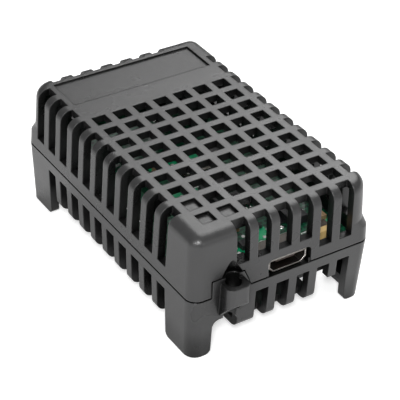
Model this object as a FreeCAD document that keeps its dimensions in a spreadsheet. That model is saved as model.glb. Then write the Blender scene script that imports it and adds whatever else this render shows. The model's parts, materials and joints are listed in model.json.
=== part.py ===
import FreeCAD, Part
import math
import os
import re
import Sketcher

# Rack temperature sensor: a vented two-shell housing on four legs, with its circuit board.
# Millimetres. X along the socket end, Y into the depth, Z up. Origin: middle of the plan, at the feet.
# Half a turn about Z carries the vents, solid corners and screw lug of one end onto the other end.

doc = FreeCAD.newDocument("rack_temperature_sensor")

# Driving dimensions
DIMENSIONS = [
    ("pitch", 4.1, "spacing of holes and slots, both ways"),
    ("case_width", 35.7, "across the socket end, at the split"),
    ("case_length", 55.7, "over the depth, at the split"),
    ("cover_height", 12.1, "split to top"),
    ("tray_height", 8.6, "split to underside of the base plate"),
    ("leg_height", 3.2, "base plate to feet"),
    ("draft_slope", 0.04, "inward lean of every outer wall, per unit of height"),
    ("corner_radius", 2.1, "solid upright corners"),
    ("post_radius", 4.0, "slim upright corners, between slots"),
    ("band_height", 2.9, "full-width band of the cover over the split"),
    ("band_slope", 1.4, "height of the chamfer above the band"),
    ("top_round", 2.0, "round along the top edges"),
    ("wall", 1.5, "side wall of both shells"),
    ("roof", 1.4, "top wall of the cover"),
    ("floor", 1.5, "base plate"),
    ("floor_round", 1.8, "round along the lower edges of the base"),
    ("groove_height", 0.3, "shadow groove at the split"),
    ("groove_depth", 0.6, "shadow groove at the split"),
    ("vent_hole", 2.65, "side of a square hole"),
    ("vent_slot", 2.5, "width of a wall slot"),
    ("side_wrap", 2.8, "reach of the side slots over the top"),
    ("end_wrap", 2.55, "reach of the end slots over the top"),
    ("side_sill", 2.45, "split to foot of a cover slot"),
    ("port_sill", 4.9, "split to foot of a slot above the socket"),
    ("blind_depth", 0.55, "depth of the three blind holes"),
    ("panel_depth", 0.35, "depth of the bare panel"),
    ("panel_width", 28.0, "bare panel, across"),
    ("panel_length", 7.7, "bare panel, along"),
    ("panel_gap", 1.1, "last row of holes to the panel"),
    ("tray_rim", 1.9, "split to head of a base slot"),
    ("tray_wrap", 2.9, "reach of the base slots under the plate"),
    ("arch_height", 3.6, "rise of the arches beside the legs"),
    ("arch_depth", 6.0, "reach of the arches under the plate"),
    ("arch_width", 4.9, "arch below the screw lug"),
    ("arch_round", 1.4, "arches, upper corners"),
    ("leg_round", 1.0, "lower corners of the legs"),
    ("floor_slot_length", 13.0, "slots in the base plate"),
    ("lug_width", 4.4, "screw lug, across"),
    ("lug_reach", 2.7, "screw lug, out of the wall"),
    ("lug_rise", 2.4, "screw lug, above the split"),
    ("lug_drop", 0.8, "split to the start of the lug's taper"),
    ("lug_taper", 3.2, "height of the lug's taper"),
    ("lug_round", 1.3, "screw lug, upright edges"),
    ("lug_bore", 2.8, "screw lug, bore"),
    ("lug_bore_reach", 0.35, "bore axis, out of the wall"),
    ("collar_rise", 3.3, "wall piece that carries the lug, above the split"),
    ("collar_half", 3.7, "wall piece, half width at the split"),
    ("collar_lean", 1.4, "wall piece, slant of the inner edge"),
    ("scoop_rise", 6.6, "split to the top of the driver scoop"),
    ("scoop_radius", 2.4, "driver scoop"),
    ("scoop_backing", 1.1, "wall thickening behind the scoop"),
    ("fit_gap", 0.15, "clearance between fitted pieces"),
    ("post_diameter", 5.2, "screw posts"),
    ("screw_diameter", 2.5, "case screw, thread"),
    ("screw_length", 12.0, "case screw, below the head"),
    ("head_diameter", 4.2, "case screw, head"),
    ("head_height", 1.6, "case screw, head"),
    ("head_recess", 0.6, "case screw, driver cross depth"),
    ("head_sink", 2.2, "counterbore under the base"),
    ("pin_diameter", 1.9, "locating pins of the board"),
    ("rib_width", 1.0, "inner ribs of the cover"),
    ("rib_reach", 2.2, "inner ribs of the cover"),
    ("rib_height", 3.0, "inner ribs of the cover"),
    ("board_thickness", 1.6, "circuit board"),
    ("board_drop", 1.45, "split to the underside of the board"),
    ("board_gap", 0.35, "circuit board to the walls"),
    ("board_corner", 3.0, "circuit board, corner radius"),
    ("sensor_x", -9.9, "sensing tongue, off the middle"),
    ("tongue_root", 4.0, "where the sensing tongue joins the board, off the middle"),
    ("tongue_length", 7.8, "sensing tongue"),
    ("tongue_width", 3.0, "sensing tongue"),
    ("tongue_moat", 1.9, "routed gap round the tongue"),
    ("sensor_inset", 1.9, "temperature sensor, from the tip of the tongue"),
    ("port_x", 1.1, "socket, off the middle"),
    ("port_recess", 0.74, "socket mouth, behind the wall face"),
    ("window_width", 8.5, "socket window in the cover"),
    ("window_rise", 3.3, "socket window, above the split"),
    ("window_round", 0.9, "socket window, upper corners"),
    ("socket_width", 7.5, "micro socket shell"),
    ("socket_height", 2.5, "micro socket shell"),
    ("socket_depth", 5.2, "micro socket shell"),
    ("socket_chamfer", 0.95, "micro socket shell, lower corners"),
    ("socket_sheet", 0.25, "micro socket shell, sheet"),
    ("blade_width", 3.7, "socket tongue"),
    ("blade_height", 0.55, "socket tongue"),
    ("contact_pitch", 0.65, "socket contacts"),
    ("contact_width", 0.35, "socket contacts"),
    ("contact_height", 0.15, "socket contacts"),
    ("contact_inset", 0.7, "socket mouth to the contacts and tongue"),
    ("socket_back", 1.5, "socket insulator, rear block"),
    ("socket_play", 0.05, "socket insulator in its shell"),
    ("blade_rise", 0.25, "socket tongue, above the middle of the socket"),
    ("solder_tab", 0.7, "socket shell, solder tabs"),
    ("lead_reach", 1.0, "package leads, out of the package"),
    ("lead_foot", 0.45, "package leads, flat on the board"),
    ("lead_sheet", 0.15, "package leads, sheet"),
    ("lead_width", 0.35, "package leads"),
    ("standoff", 0.1, "package underside to the board"),
    ("controller_side", 7.0, "microcontroller"),
    ("controller_height", 1.4, "microcontroller"),
    ("controller_pitch", 0.8, "microcontroller leads"),
    ("controller_x", 3.4, "microcontroller, off the middle"),
    ("controller_y", -5.6, "microcontroller, off the middle"),
    ("sensor_width", 1.6, "temperature sensor, between its leads"),
    ("sensor_length", 2.9, "temperature sensor"),
    ("sensor_height", 1.1, "temperature sensor"),
    ("sensor_pitch", 0.95, "temperature sensor leads"),
    ("protector_width", 1.6, "surge protector, between its leads"),
    ("protector_length", 2.9, "surge protector"),
    ("protector_x", -1.4, "surge protector, off the middle"),
    ("protector_y", -19.2, "surge protector, off the middle"),
    ("regulator_width", 3.5, "voltage regulator, between its leads"),
    ("regulator_length", 6.5, "voltage regulator"),
    ("regulator_height", 1.6, "voltage regulator"),
    ("regulator_pitch", 2.3, "voltage regulator leads"),
    ("regulator_tab", 3.0, "voltage regulator, wide tab"),
    ("regulator_x", 9.6, "voltage regulator, off the middle"),
    ("regulator_y", -15.4, "voltage regulator, off the middle"),
    ("crystal_length", 5.0, "crystal can"),
    ("crystal_width", 3.2, "crystal can"),
    ("crystal_height", 1.2, "crystal can"),
    ("crystal_flange", 0.3, "crystal, flange round the can"),
    ("crystal_x", 2.9, "crystal, off the middle"),
    ("crystal_y", 3.6, "crystal, off the middle"),
    ("tantalum_length", 3.5, "tantalum capacitor"),
    ("tantalum_width", 2.8, "tantalum capacitor"),
    ("tantalum_height", 1.9, "tantalum capacitor"),
    ("tantalum_x", 10.8, "tantalum capacitor, off the middle"),
    ("tantalum_y", -22.9, "tantalum capacitor, off the middle"),
    ("small_length", 2.0, "small parts with end caps"),
    ("small_width", 1.25, "small parts with end caps"),
    ("small_cap", 0.4, "small parts, end caps"),
    ("cap_margin", 0.04, "end caps, proud of the part"),
    ("resistor_height", 0.55, "resistors"),
    ("capacitor_height", 0.9, "ceramic capacitors"),
    ("bead_height", 0.8, "ferrite bead"),
    ("light_height", 0.5, "status light, base"),
    ("light_lens", 0.5, "status light, lens"),
]

# Places of the small parts on the board, off the middle
PLACES = [
    ("ferrite_bead", -4.4, -22.6),
    ("status_led", 10.4, 22.2),
    ("capacitor_1", -1.2, -14.4),
    ("capacitor_2", 10.4, -3.2),
    ("capacitor_3", -2.6, 7.0),
    ("capacitor_4", 13.6, -19.0),
    ("resistor_1", 2.6, -15.6),
    ("resistor_2", 9.4, 7.0),
    ("resistor_3", 3.4, 9.6),
    ("resistor_4", 6.4, 21.4),
]
for label, x, y in PLACES:
    DIMENSIONS.append((label + "_x", x, label.replace("_", " ") + ", off the middle"))
    DIMENSIONS.append((label + "_y", y, label.replace("_", " ") + ", off the middle"))
size = doc.addObject("Spreadsheet::Sheet", "size")
for row, (alias, value, note) in enumerate(DIMENSIONS, start=1):
    size.set(f"A{row}", note)
    size.set(f"B{row}", str(value))
    size.setAlias(f"B{row}", alias)
doc.recompute()


ALIASES = {alias for alias, _, _ in DIMENSIONS}


def bound(text):
    """Expression with each word that names a cell led by the sheet's name."""
    def lead(match):
        word = match.group(0)
        return f"size.{word}" if word in ALIASES else word
    return re.sub(r"[a-z_]+[a-z_0-9]*", lead, text)


# Levels and half sizes, as expressions
PLATE = "leg_height"
SPLIT = "(leg_height + tray_height)"
TOP = "(leg_height + tray_height + cover_height)"
HALF_X = "(case_width / 2)"
HALF_Y = "(case_length / 2)"
BOARD_UNDER = "(leg_height + tray_height - board_drop)"
BOARD_TOP = "(leg_height + tray_height - board_drop + board_thickness)"
SCREW_X = "(3 * pitch)"
SCREW_Y = "(4.5 * pitch)"
LEG_X = "(3 * pitch + vent_slot / 2)"
LEG_Y = "(4.5 * pitch + vent_slot / 2)"
LUG_X = "(2.5 * pitch)"
MOUTH_Y = "(port_recess - case_length / 2)"
SPARE = "1"
vector = FreeCAD.Vector


def new_body(name):
    body = doc.addObject("PartDesign::Body", name)
    body.Label = name
    return body


def origin_part(body, role):
    return next(item for item in body.Origin.OriginFeatures if item.Role == role)


def new_sketch(body, name, plane, at):
    """Sketch on an origin plane of the body, moved by three expressions in the plane's own axes."""
    sketch = body.newObject("Sketcher::SketchObject", name)
    sketch.AttachmentSupport = (origin_part(body, plane), [""])
    sketch.MapMode = "FlatFace"
    for axis, text in zip("xyz", at):
        sketch.setExpression(f"AttachmentOffset.Base.{axis}", bound(text))
    return sketch


def name_size(sketch, kind, refs, value, name, text):
    index = sketch.addConstraint(Sketcher.Constraint(kind, *refs, value))
    sketch.renameConstraint(index, name)
    sketch.setExpression(f"Constraints.{name}", bound(text))


def level_lines(sketch):
    for index in (0, 2):
        sketch.addConstraint(Sketcher.Constraint("Horizontal", index))
        sketch.addConstraint(Sketcher.Constraint("Vertical", index + 1))


def rectangle(body, name, plane, at, wide, tall):
    """Rectangle centred on the sketch origin."""
    sketch = new_sketch(body, name, plane, at)
    corners = [vector(-1, -1, 0), vector(1, -1, 0), vector(1, 1, 0), vector(-1, 1, 0)]
    for index in range(4):
        sketch.addGeometry(Part.LineSegment(corners[index], corners[(index + 1) % 4]), False)
    for index in range(4):
        sketch.addConstraint(Sketcher.Constraint("Coincident", index, 2, (index + 1) % 4, 1))
    level_lines(sketch)
    sketch.addConstraint(Sketcher.Constraint("Symmetric", 0, 1, 2, 1, -1, 1))
    name_size(sketch, "DistanceX", (0, 1, 0, 2), 2.0, "wide", wide)
    name_size(sketch, "DistanceY", (1, 1, 1, 2), 2.0, "tall", tall)
    return sketch


def rounded(body, name, plane, at, wide, tall, radius, other_radius=None, start=(8.0, 8.0)):
    """Rounded rectangle centred on the sketch origin. The lower right and upper left corners may
    have a radius of their own. The start size only helps the solver."""
    sketch = new_sketch(body, name, plane, at)
    x, y, r = start[0] / 2, start[1] / 2, min(start) / 8
    lines = [((-x + r, -y), (x - r, -y)), ((x, -y + r), (x, y - r)),
             ((x - r, y), (-x + r, y)), ((-x, y - r), (-x, -y + r))]
    for first, last in lines:
        sketch.addGeometry(Part.LineSegment(vector(*first, 0), vector(*last, 0)), False)
    # arcs 4 to 7: lower right, upper right, upper left, lower left
    centres = [(x - r, -y + r), (x - r, y - r), (-x + r, y - r), (-x + r, -y + r)]
    for index, centre in enumerate(centres):
        circle = Part.Circle(vector(*centre, 0), vector(0, 0, 1), r)
        first = (index - 1) * math.pi / 2
        sketch.addGeometry(Part.ArcOfCircle(circle, first, first + math.pi / 2), False)
    for index in range(4):
        sketch.addConstraint(Sketcher.Constraint("Tangent", index, 2, index + 4, 1))
        sketch.addConstraint(Sketcher.Constraint("Tangent", index + 4, 2, (index + 1) % 4, 1))
    level_lines(sketch)
    sketch.addConstraint(Sketcher.Constraint("Equal", 4, 6))
    sketch.addConstraint(Sketcher.Constraint("Equal", 5, 7))
    sketch.addConstraint(Sketcher.Constraint("Symmetric", 5, 3, 7, 3, -1, 1))
    name_size(sketch, "Radius", (5,), r, "radius", radius)
    name_size(sketch, "Radius", (4,), r, "other_radius", other_radius or radius)
    name_size(sketch, "DistanceX", (3, 1, 1, 1), 2 * x, "wide", wide)
    name_size(sketch, "DistanceY", (0, 1, 2, 1), 2 * y, "tall", tall)
    return sketch


def polygon(body, name, plane, at, points):
    """Closed outline through points given as pairs of expressions with a start value each."""
    sketch = new_sketch(body, name, plane, at)
    corners = [vector(x, y, 0) for (x, _), (y, _) in points]
    count = len(corners)
    for index in range(count):
        sketch.addGeometry(Part.LineSegment(corners[index], corners[(index + 1) % count]), False)
    for index in range(count):
        sketch.addConstraint(Sketcher.Constraint("Coincident", index, 2, (index + 1) % count, 1))
    for index, ((x, x_text), (y, y_text)) in enumerate(points):
        name_size(sketch, "DistanceX", (-1, 1, index, 1), x, f"across_{index}", x_text)
        name_size(sketch, "DistanceY", (-1, 1, index, 1), y, f"up_{index}", y_text)
    return sketch


def circle(body, name, at, diameter):
    """Circle round the sketch origin, in a level plane."""
    sketch = new_sketch(body, name, "XY_Plane", at)
    sketch.addGeometry(Part.Circle(vector(0, 0, 0), vector(0, 0, 1), 1.0), False)
    sketch.addConstraint(Sketcher.Constraint("Coincident", 0, 3, -1, 1))
    name_size(sketch, "Diameter", (0,), 2.0, "diameter", diameter)
    return sketch


def pad(body, name, sketch, length, both_ways=False):
    feature = body.newObject("PartDesign::Pad", name)
    feature.Profile = sketch
    if both_ways:
        feature.SideType = "Symmetric"
    feature.setExpression("Length", bound(length))
    return feature


def pocket(body, name, sketch, length, reverse=False):
    """Cut against the sketch normal, or along it when reversed."""
    feature = body.newObject("PartDesign::Pocket", name)
    feature.Profile = sketch
    feature.Refine = False
    feature.Reversed = reverse
    feature.setExpression("Length", bound(length))
    return feature


def loft(body, name, sections, cut=False):
    kind = "PartDesign::SubtractiveLoft" if cut else "PartDesign::AdditiveLoft"
    feature = body.newObject(kind, name)
    feature.Profile = sections[0]
    feature.Sections = sections[1:]
    feature.Ruled = True
    return feature


def repeated(body, name, features, along=None, count=1, step="pitch", turned=0, also=None):
    """Copies of features in steps along an axis, then, where asked, turned about Z."""
    pattern = body.newObject("PartDesign::MultiTransform", name)
    pattern.Originals = features
    pattern.Refine = False
    steps = []
    if along:
        row = body.newObject("PartDesign::LinearPattern", name + "_row")
        row.Direction = (origin_part(body, along), [""])
        row.Mode = "Spacing"
        row.setExpression("Offset", bound(step))
        row.Occurrences = count
        if also:
            row.Direction2 = (origin_part(body, also[0]), [""])
            row.Mode2 = "Spacing"
            row.setExpression("Offset2", bound(step))
            row.Occurrences2 = also[1]
        steps.append(row)
    if turned:
        ring = body.newObject("PartDesign::PolarPattern", name + "_turn")
        ring.Axis = (origin_part(body, "Z_Axis"), [""])
        ring.Angle = 360
        ring.Occurrences = turned
        steps.append(ring)
    pattern.Transformations = steps
    body.Tip = pattern
    return pattern


def fillet(body, name, radius, wanted):
    """Round the edges of the body's tip whose middle point passes the test."""
    doc.recompute()
    base = body.Tip
    edges = []
    for index, edge in enumerate(base.Shape.Edges, start=1):
        middle = edge.valueAt((edge.FirstParameter + edge.LastParameter) / 2)
        if wanted(middle, edge):
            edges.append(f"Edge{index}")
    feature = body.newObject("PartDesign::Fillet", name)
    feature.Base = (base, edges)
    feature.setExpression("Radius", bound(radius))
    return feature


def near(value, target):
    return abs(value - target) < 0.05


def cell(alias):
    return float(size.get(alias))


# Cover
def outer_plan(body, name, rise, post="corner_radius"):
    """Outline of the cover at a height above the split."""
    lean = f"2 * draft_slope * ({rise})"
    return rounded(body, name, "XY_Plane", ("0", "0", f"{SPLIT} + {rise}"), f"case_width - {lean}",
                   f"case_length - {lean}", "corner_radius", post, start=(35.0, 55.0))


def inner_plan(body, name, rise, post="corner_radius - wall"):
    """Outline of the room inside a shell, at a height above the split or below it."""
    lean = f"2 * draft_slope * abs({rise})"
    return rounded(body, name, "XY_Plane", ("0", "0", f"{SPLIT} + {rise}"),
                   f"case_width - 2 * wall - {lean}", f"case_length - 2 * wall - {lean}",
                   "corner_radius - wall", post, start=(32.0, 52.0))


def make_cover():
    body = new_body("cover")

    # Shell: a rim that leaves the shadow groove, then the leaning walls up to the top
    rim = rounded(body, "rim_plan", "XY_Plane", ("0", "0", SPLIT), "case_width - 2 * groove_depth",
                  "case_length - 2 * groove_depth", "corner_radius - groove_depth",
                  start=(34.0, 54.0))
    pad(body, "rim", rim, "groove_height")
    walls = [outer_plan(body, "groove_plan", "groove_height"),
             outer_plan(body, "band_plan", "band_height"),
             outer_plan(body, "slope_plan", "(band_height + band_slope)", "post_radius"),
             outer_plan(body, "top_plan", "cover_height", "post_radius")]
    loft(body, "walls", walls)
    top = cell("leg_height") + cell("tray_height") + cell("cover_height")
    fillet(body, "top_edge", "top_round", lambda middle, edge: near(middle.z, top))
    room = [inner_plan(body, "room_foot", "0", "post_radius - wall"),
            inner_plan(body, "room_head", "(cover_height - roof)", "post_radius - wall")]
    loft(body, "room", room, cut=True)

    # Solid corners: screw posts, thicker wall behind the scoop
    post = circle(body, "post_plan", (f"-{SCREW_X}", f"-{SCREW_Y}", BOARD_TOP), "post_diameter")
    post = pad(body, "post", post, f"{TOP} - roof - {BOARD_TOP} + 0.5 * roof")
    pilot = circle(body, "pilot_plan", (f"-{SCREW_X}", f"-{SCREW_Y}", BOARD_TOP),
                   "screw_diameter + fit_gap")
    pilot = pocket(body, "pilot", pilot, f"{PLATE} + head_sink + screw_length + 0.6 - {BOARD_TOP}",
                   reverse=True)
    backing = rectangle(body, "backing_plan", "XY_Plane",
                        (f"-{LUG_X}", f"wall + scoop_backing / 2 - 0.2 - {HALF_Y}", f"{SPLIT} + 0.6"),
                        "2 * collar_half", "scoop_backing + 0.4")
    backing = pad(body, "backing", backing, "port_sill - 0.6")

    # Opening for the lug's wall piece, driver scoop above it
    front = f"{HALF_Y} + {SPARE}"
    half = "(collar_half + fit_gap)"
    notch = polygon(body, "notch_outline", "XZ_Plane", (f"-{LUG_X}", SPLIT, front),
                    [((-4.0, f"-{half}"), (-1.0, f"-{SPARE}")), ((4.0, half), (-1.0, f"-{SPARE}")),
                     ((4.0, half), (0.1, "0.1")),
                     ((2.5, f"{half} - collar_lean"), (3.4, "collar_rise + fit_gap")),
                     ((-4.0, f"-{half}"), (3.4, "collar_rise + fit_gap"))])
    notch = pocket(body, "notch", notch, f"{SPARE} + wall + fit_gap")
    scoop = body.newObject("PartDesign::SubtractiveCone", "scoop")
    scoop.AttachmentSupport = (origin_part(body, "XY_Plane"), [""])
    scoop.MapMode = "FlatFace"
    for path, text in {"AttachmentOffset.Base.x": f"-{LUG_X}",
                       "AttachmentOffset.Base.y": f"-{HALF_Y} - lug_bore_reach",
                       "AttachmentOffset.Base.z": f"{SPLIT} + collar_rise - 0.5",
                       "Radius1": "scoop_radius", "Radius2": "lug_bore_reach",
                       "Height": "scoop_rise - collar_rise + 0.5"}.items():
        scoop.setExpression(path, bound(text))
    repeated(body, "turned_corner", [post, pilot, backing, notch, scoop], turned=2)

    # Socket window
    window = rounded(body, "window_outline", "XZ_Plane",
                     ("port_x", f"{SPLIT} + (window_rise - 2) / 2", front),
                     "window_width", "window_rise + 2", "window_round", start=(8.5, 5.0))
    pocket(body, "window", window, f"{SPARE} + wall + 0.5")

    # Stiffening ribs on every other bar of one side
    rib = rectangle(body, "rib_plan", "XY_Plane",
                    (f"{HALF_X} - wall - rib_reach / 2", "-5 * pitch", f"{TOP} - roof - rib_height"),
                    "rib_reach + 0.4", "rib_width")
    rib = pad(body, "rib", rib, "rib_height + 0.5 * roof")
    repeated(body, "ribs", [rib], "Y_Axis", 5, step="2 * pitch", turned=2)

    # Bare panel
    panel = rectangle(body, "panel_plan", "XY_Plane",
                      ("0", "3.5 * pitch + vent_hole / 2 + panel_gap + panel_length / 2", TOP),
                      "panel_width", "panel_length")
    pocket(body, "panel", panel, "panel_depth")

    # Wall slots that wrap over the top edge
    def slot_outline(name, plane, across, offset, sill):
        return rectangle(body, name, plane, (across, f"({SPLIT} + {sill} + {TOP} + {SPARE}) / 2", offset),
                         "vent_slot", f"cover_height + {SPARE} - {sill}")

    side = slot_outline("side_slot_outline", "YZ_Plane", "-4.5 * pitch",
                        f"side_wrap - {HALF_X}", "side_sill")
    side = pocket(body, "side_slot", side, f"side_wrap + {SPARE}")
    repeated(body, "side_slots", [side], "Y_Axis", 11, turned=2)
    back = f"end_wrap - {HALF_Y}"
    ends = [("port_slot", front, "-2 * pitch", "port_sill", 4),
            ("front_slot", front, "2 * pitch", "side_sill", 2),
            ("lug_slot", back, "2 * pitch", "port_sill", 1),
            ("back_slot", back, "-3 * pitch", "side_sill", 5)]
    for name, offset, across, sill, count in ends:
        outline = slot_outline(name + "_outline", "XZ_Plane", across, offset, sill)
        slot = pocket(body, name, outline, f"end_wrap + {SPARE}")
        if count > 1:
            repeated(body, name + "s", [slot], "X_Axis", count)

    # Grid of square holes, three of them closed by the floor of the solid corner
    hole = rectangle(body, "hole_plan", "XY_Plane", ("-3 * pitch", "-5.5 * pitch", f"{TOP} + {SPARE}"),
                     "vent_hole", "vent_hole")
    hole = pocket(body, "hole", hole, f"roof + {SPARE} + 0.1")
    repeated(body, "holes", [hole], "X_Axis", 7, also=("Y_Axis", 10))
    inner_x = f"(side_wrap - {HALF_X})"
    inner_y = f"(end_wrap - {HALF_Y})"
    floor = polygon(body, "blind_floor_plan", "XY_Plane", ("0", "0", f"{TOP} - roof - 0.6"),
                    [((-15.0, inner_x), (-25.0, inner_y)), ((-6.0, "-1.5 * pitch"), (-25.0, inner_y)),
                     ((-6.0, "-1.5 * pitch"), (-20.0, "-5 * pitch")),
                     ((-10.0, "-2.5 * pitch"), (-20.0, "-5 * pitch")),
                     ((-10.0, "-2.5 * pitch"), (-16.0, "-4 * pitch")),
                     ((-15.0, inner_x), (-16.0, "-4 * pitch"))])
    body.Tip = pad(body, "blind_floor", floor, "roof + 0.6 - blind_depth")
    return body


# Base
def tray_plan(body, name, level):
    """Outline of the base at a level over the feet."""
    lean = f"2 * draft_slope * ({SPLIT} - {level})"
    return rounded(body, name, "XY_Plane", ("0", "0", level), f"case_width - {lean}",
                   f"case_length - {lean}", "corner_radius", start=(35.0, 55.0))


def make_base():
    body = new_body("base")
    loft(body, "outer", [tray_plan(body, "feet_plan", "0"), tray_plan(body, "split_plan", SPLIT)])

    # Everything below the plate but the four corners, then the inside of the corners
    below = ("0", "0", f"-{SPARE}")
    across = rectangle(body, "across_plan", "XY_Plane", below, f"case_width + 2 * {SPARE}", f"2 * {LEG_Y}")
    pocket(body, "across", across, f"leg_height + {SPARE}", reverse=True)
    along = rectangle(body, "along_plan", "XY_Plane", below, f"2 * {LEG_X}", f"case_length + 2 * {SPARE}")
    pocket(body, "along", along, f"leg_height + {SPARE}", reverse=True)
    plate = cell("leg_height")
    edge_x = cell("case_width") / 2 - 1
    edge_y = cell("case_length") / 2 - 1
    fillet(body, "plate_edge", "floor_round",
           lambda middle, edge: (near(middle.z, plate) and edge.Length > 5
                                 and (abs(middle.x) > edge_x or abs(middle.y) > edge_y)))
    hollow = rectangle(body, "hollow_plan", "XY_Plane", below, "case_width - 2 * wall - 1",
                       "case_length - 2 * wall - 1")
    pocket(body, "hollow", hollow, f"leg_height + {SPARE}", reverse=True)
    leg_x = 3 * cell("pitch") + cell("vent_slot") / 2
    leg_y = 4.5 * cell("pitch") + cell("vent_slot") / 2
    fillet(body, "leg_tips", "leg_round",
           lambda middle, edge: near(middle.z, 0) and (near(abs(middle.x), leg_x)
                                                       or near(abs(middle.y), leg_y)))
    room = [inner_plan(body, "tray_head", "0"), inner_plan(body, "tray_foot", "(floor - tray_height)")]
    loft(body, "room", room, cut=True)

    # Screw lug on its wall piece
    half = "collar_half"
    collar = polygon(body, "collar_outline", "XZ_Plane", (f"-{LUG_X}", SPLIT, f"{HALF_Y} - wall"),
                     [((-4.0, f"-{half}"), (-1.0, "-1")), ((4.0, half), (-1.0, "-1")),
                      ((4.0, half), (0.1, "0.1")), ((2.5, f"{half} - collar_lean"), (3.3, "collar_rise")),
                      ((-4.0, f"-{half}"), (3.3, "collar_rise"))])
    collar = pad(body, "collar", collar, "wall")
    root = "(wall - 0.1)"
    plan = rounded(body, "lug_plan", "XY_Plane",
                   (f"-{LUG_X}", f"({root} - lug_reach) / 2 - {HALF_Y}", f"{SPLIT} - lug_drop - lug_taper"),
                   "lug_width", f"{root} + lug_reach", "lug_round", start=(4.4, 4.0))
    lug = pad(body, "lug", plan, "lug_taper + lug_drop + lug_rise")
    taper = polygon(body, "taper_outline", "YZ_Plane", (f"-{HALF_Y}", SPLIT, f"lug_width - {LUG_X}"),
                    [((-3.7, f"-lug_reach - {SPARE}"), (-0.8, "-lug_drop")),
                     ((-2.7, "-lug_reach"), (-0.8, "-lug_drop")),
                     ((-0.02, "-0.02"), (-4.0, "-lug_drop - lug_taper")),
                     ((-0.02, "-0.02"), (-5.0, f"-lug_drop - lug_taper - {SPARE}")),
                     ((-3.7, f"-lug_reach - {SPARE}"), (-5.0, f"-lug_drop - lug_taper - {SPARE}"))])
    taper = pocket(body, "lug_taper", taper, "2 * lug_width")
    bore = circle(body, "bore_plan",
                  (f"-{LUG_X}", f"-{HALF_Y} - lug_bore_reach", f"{SPLIT} + collar_rise + {SPARE}"),
                  "lug_bore")
    bore = pocket(body, "bore", bore, f"collar_rise + {SPARE} + tray_height - arch_height + 0.5")
    repeated(body, "lugs", [collar, lug, taper, bore], turned=2)

    # Cradle beside the socket
    ear = rectangle(body, "ear_plan", "XY_Plane",
                    (f"port_x - (window_width + socket_width) / 4 - 0.1", f"wall / 2 + 0.1 - {HALF_Y}",
                     f"{SPLIT} - 1"), "(window_width - socket_width) / 2 - 0.2", "wall - 0.2")
    pad(body, "ear", ear, "1 + 0.8")
    ear = rectangle(body, "far_ear_plan", "XY_Plane",
                    (f"port_x + (window_width + socket_width) / 4 + 0.1", f"wall / 2 + 0.1 - {HALF_Y}",
                     f"{SPLIT} - 1"), "(window_width - socket_width) / 2 - 0.2", "wall - 0.2")
    pad(body, "far_ear", ear, "1 + 0.8")

    # Posts: two take the case screws, two carry the locating pins
    foot = f"{PLATE} + floor / 2"
    screwed = circle(body, "screw_post_plan", (f"-{SCREW_X}", f"-{SCREW_Y}", foot), "post_diameter")
    screwed = pad(body, "screw_post", screwed, f"{BOARD_UNDER} - {PLATE} - floor / 2")
    pinned = circle(body, "pin_post_plan", (SCREW_X, f"-{SCREW_Y}", foot), "post_diameter")
    pinned = pad(body, "pin_post", pinned, f"{BOARD_UNDER} - {PLATE} - floor / 2")
    pin = circle(body, "pin_plan", (SCREW_X, f"-{SCREW_Y}", BOARD_UNDER), "pin_diameter")
    pin = pad(body, "pin", pin, "board_thickness - 0.2")
    passage = circle(body, "passage_plan", (f"-{SCREW_X}", f"-{SCREW_Y}", BOARD_UNDER),
                     "screw_diameter + 2 * fit_gap")
    passage = pocket(body, "passage", passage, f"{BOARD_UNDER}")
    sink = circle(body, "sink_plan", (f"-{SCREW_X}", f"-{SCREW_Y}", f"{PLATE} - {SPARE}"),
                  "head_diameter + 2 * fit_gap")
    sink = pocket(body, "sink", sink, f"head_sink + {SPARE}", reverse=True)
    repeated(body, "posts", [screwed, pinned, pin, passage, sink], turned=2)

    # Wall slots that run on under the plate
    def slot_outline(name, plane, across, offset):
        return rectangle(body, name, plane, (across, f"({SPLIT} - tray_rim + {PLATE} - {SPARE}) / 2", offset),
                         "vent_slot", f"tray_height - tray_rim + {SPARE}")

    side = slot_outline("side_slot_outline", "YZ_Plane", "-4.5 * pitch", f"tray_wrap - {HALF_X}")
    side = pocket(body, "side_slot", side, f"tray_wrap + {SPARE}")
    repeated(body, "side_slots", [side], "Y_Axis", 10, turned=2)
    front = f"{HALF_Y} + {SPARE}"
    end = slot_outline("end_slot_outline", "XZ_Plane", "-pitch", front)
    end = pocket(body, "end_slot", end, f"tray_wrap + {SPARE}")
    repeated(body, "end_slots", [end], "X_Axis", 5, turned=2)

    # Arches beside the legs, and slots in the plate
    rise = f"(leg_height + arch_height + {SPARE})"
    lug_arch = rounded(body, "lug_arch_outline", "XZ_Plane",
                       (f"arch_width / 2 - {LEG_X}", f"{rise} / 2 - {SPARE}", front),
                       "arch_width", rise, "arch_round", start=(4.9, 7.8))
    lug_arch = pocket(body, "lug_arch", lug_arch, f"arch_depth + {SPARE}")
    wide_arch = rounded(body, "wide_arch_outline", "XZ_Plane",
                        ("2.5 * pitch", f"{rise} / 2 - {SPARE}", front),
                        "pitch + vent_slot", rise, "arch_round", start=(6.6, 7.8))
    wide_arch = pocket(body, "wide_arch", wide_arch, f"arch_depth + {SPARE}")
    repeated(body, "arches", [lug_arch, wide_arch], turned=2)
    vent = rectangle(body, "floor_slot_plan", "XY_Plane",
                     ("-3 * pitch", "floor_slot_length / 2 + pitch / 4", f"{PLATE} + floor + {SPARE}"),
                     "vent_hole", "floor_slot_length")
    vent = pocket(body, "floor_slot", vent, f"floor + 2 * {SPARE}")
    repeated(body, "floor_slots", [vent], "X_Axis", 7, turned=2)
    return body


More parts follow.
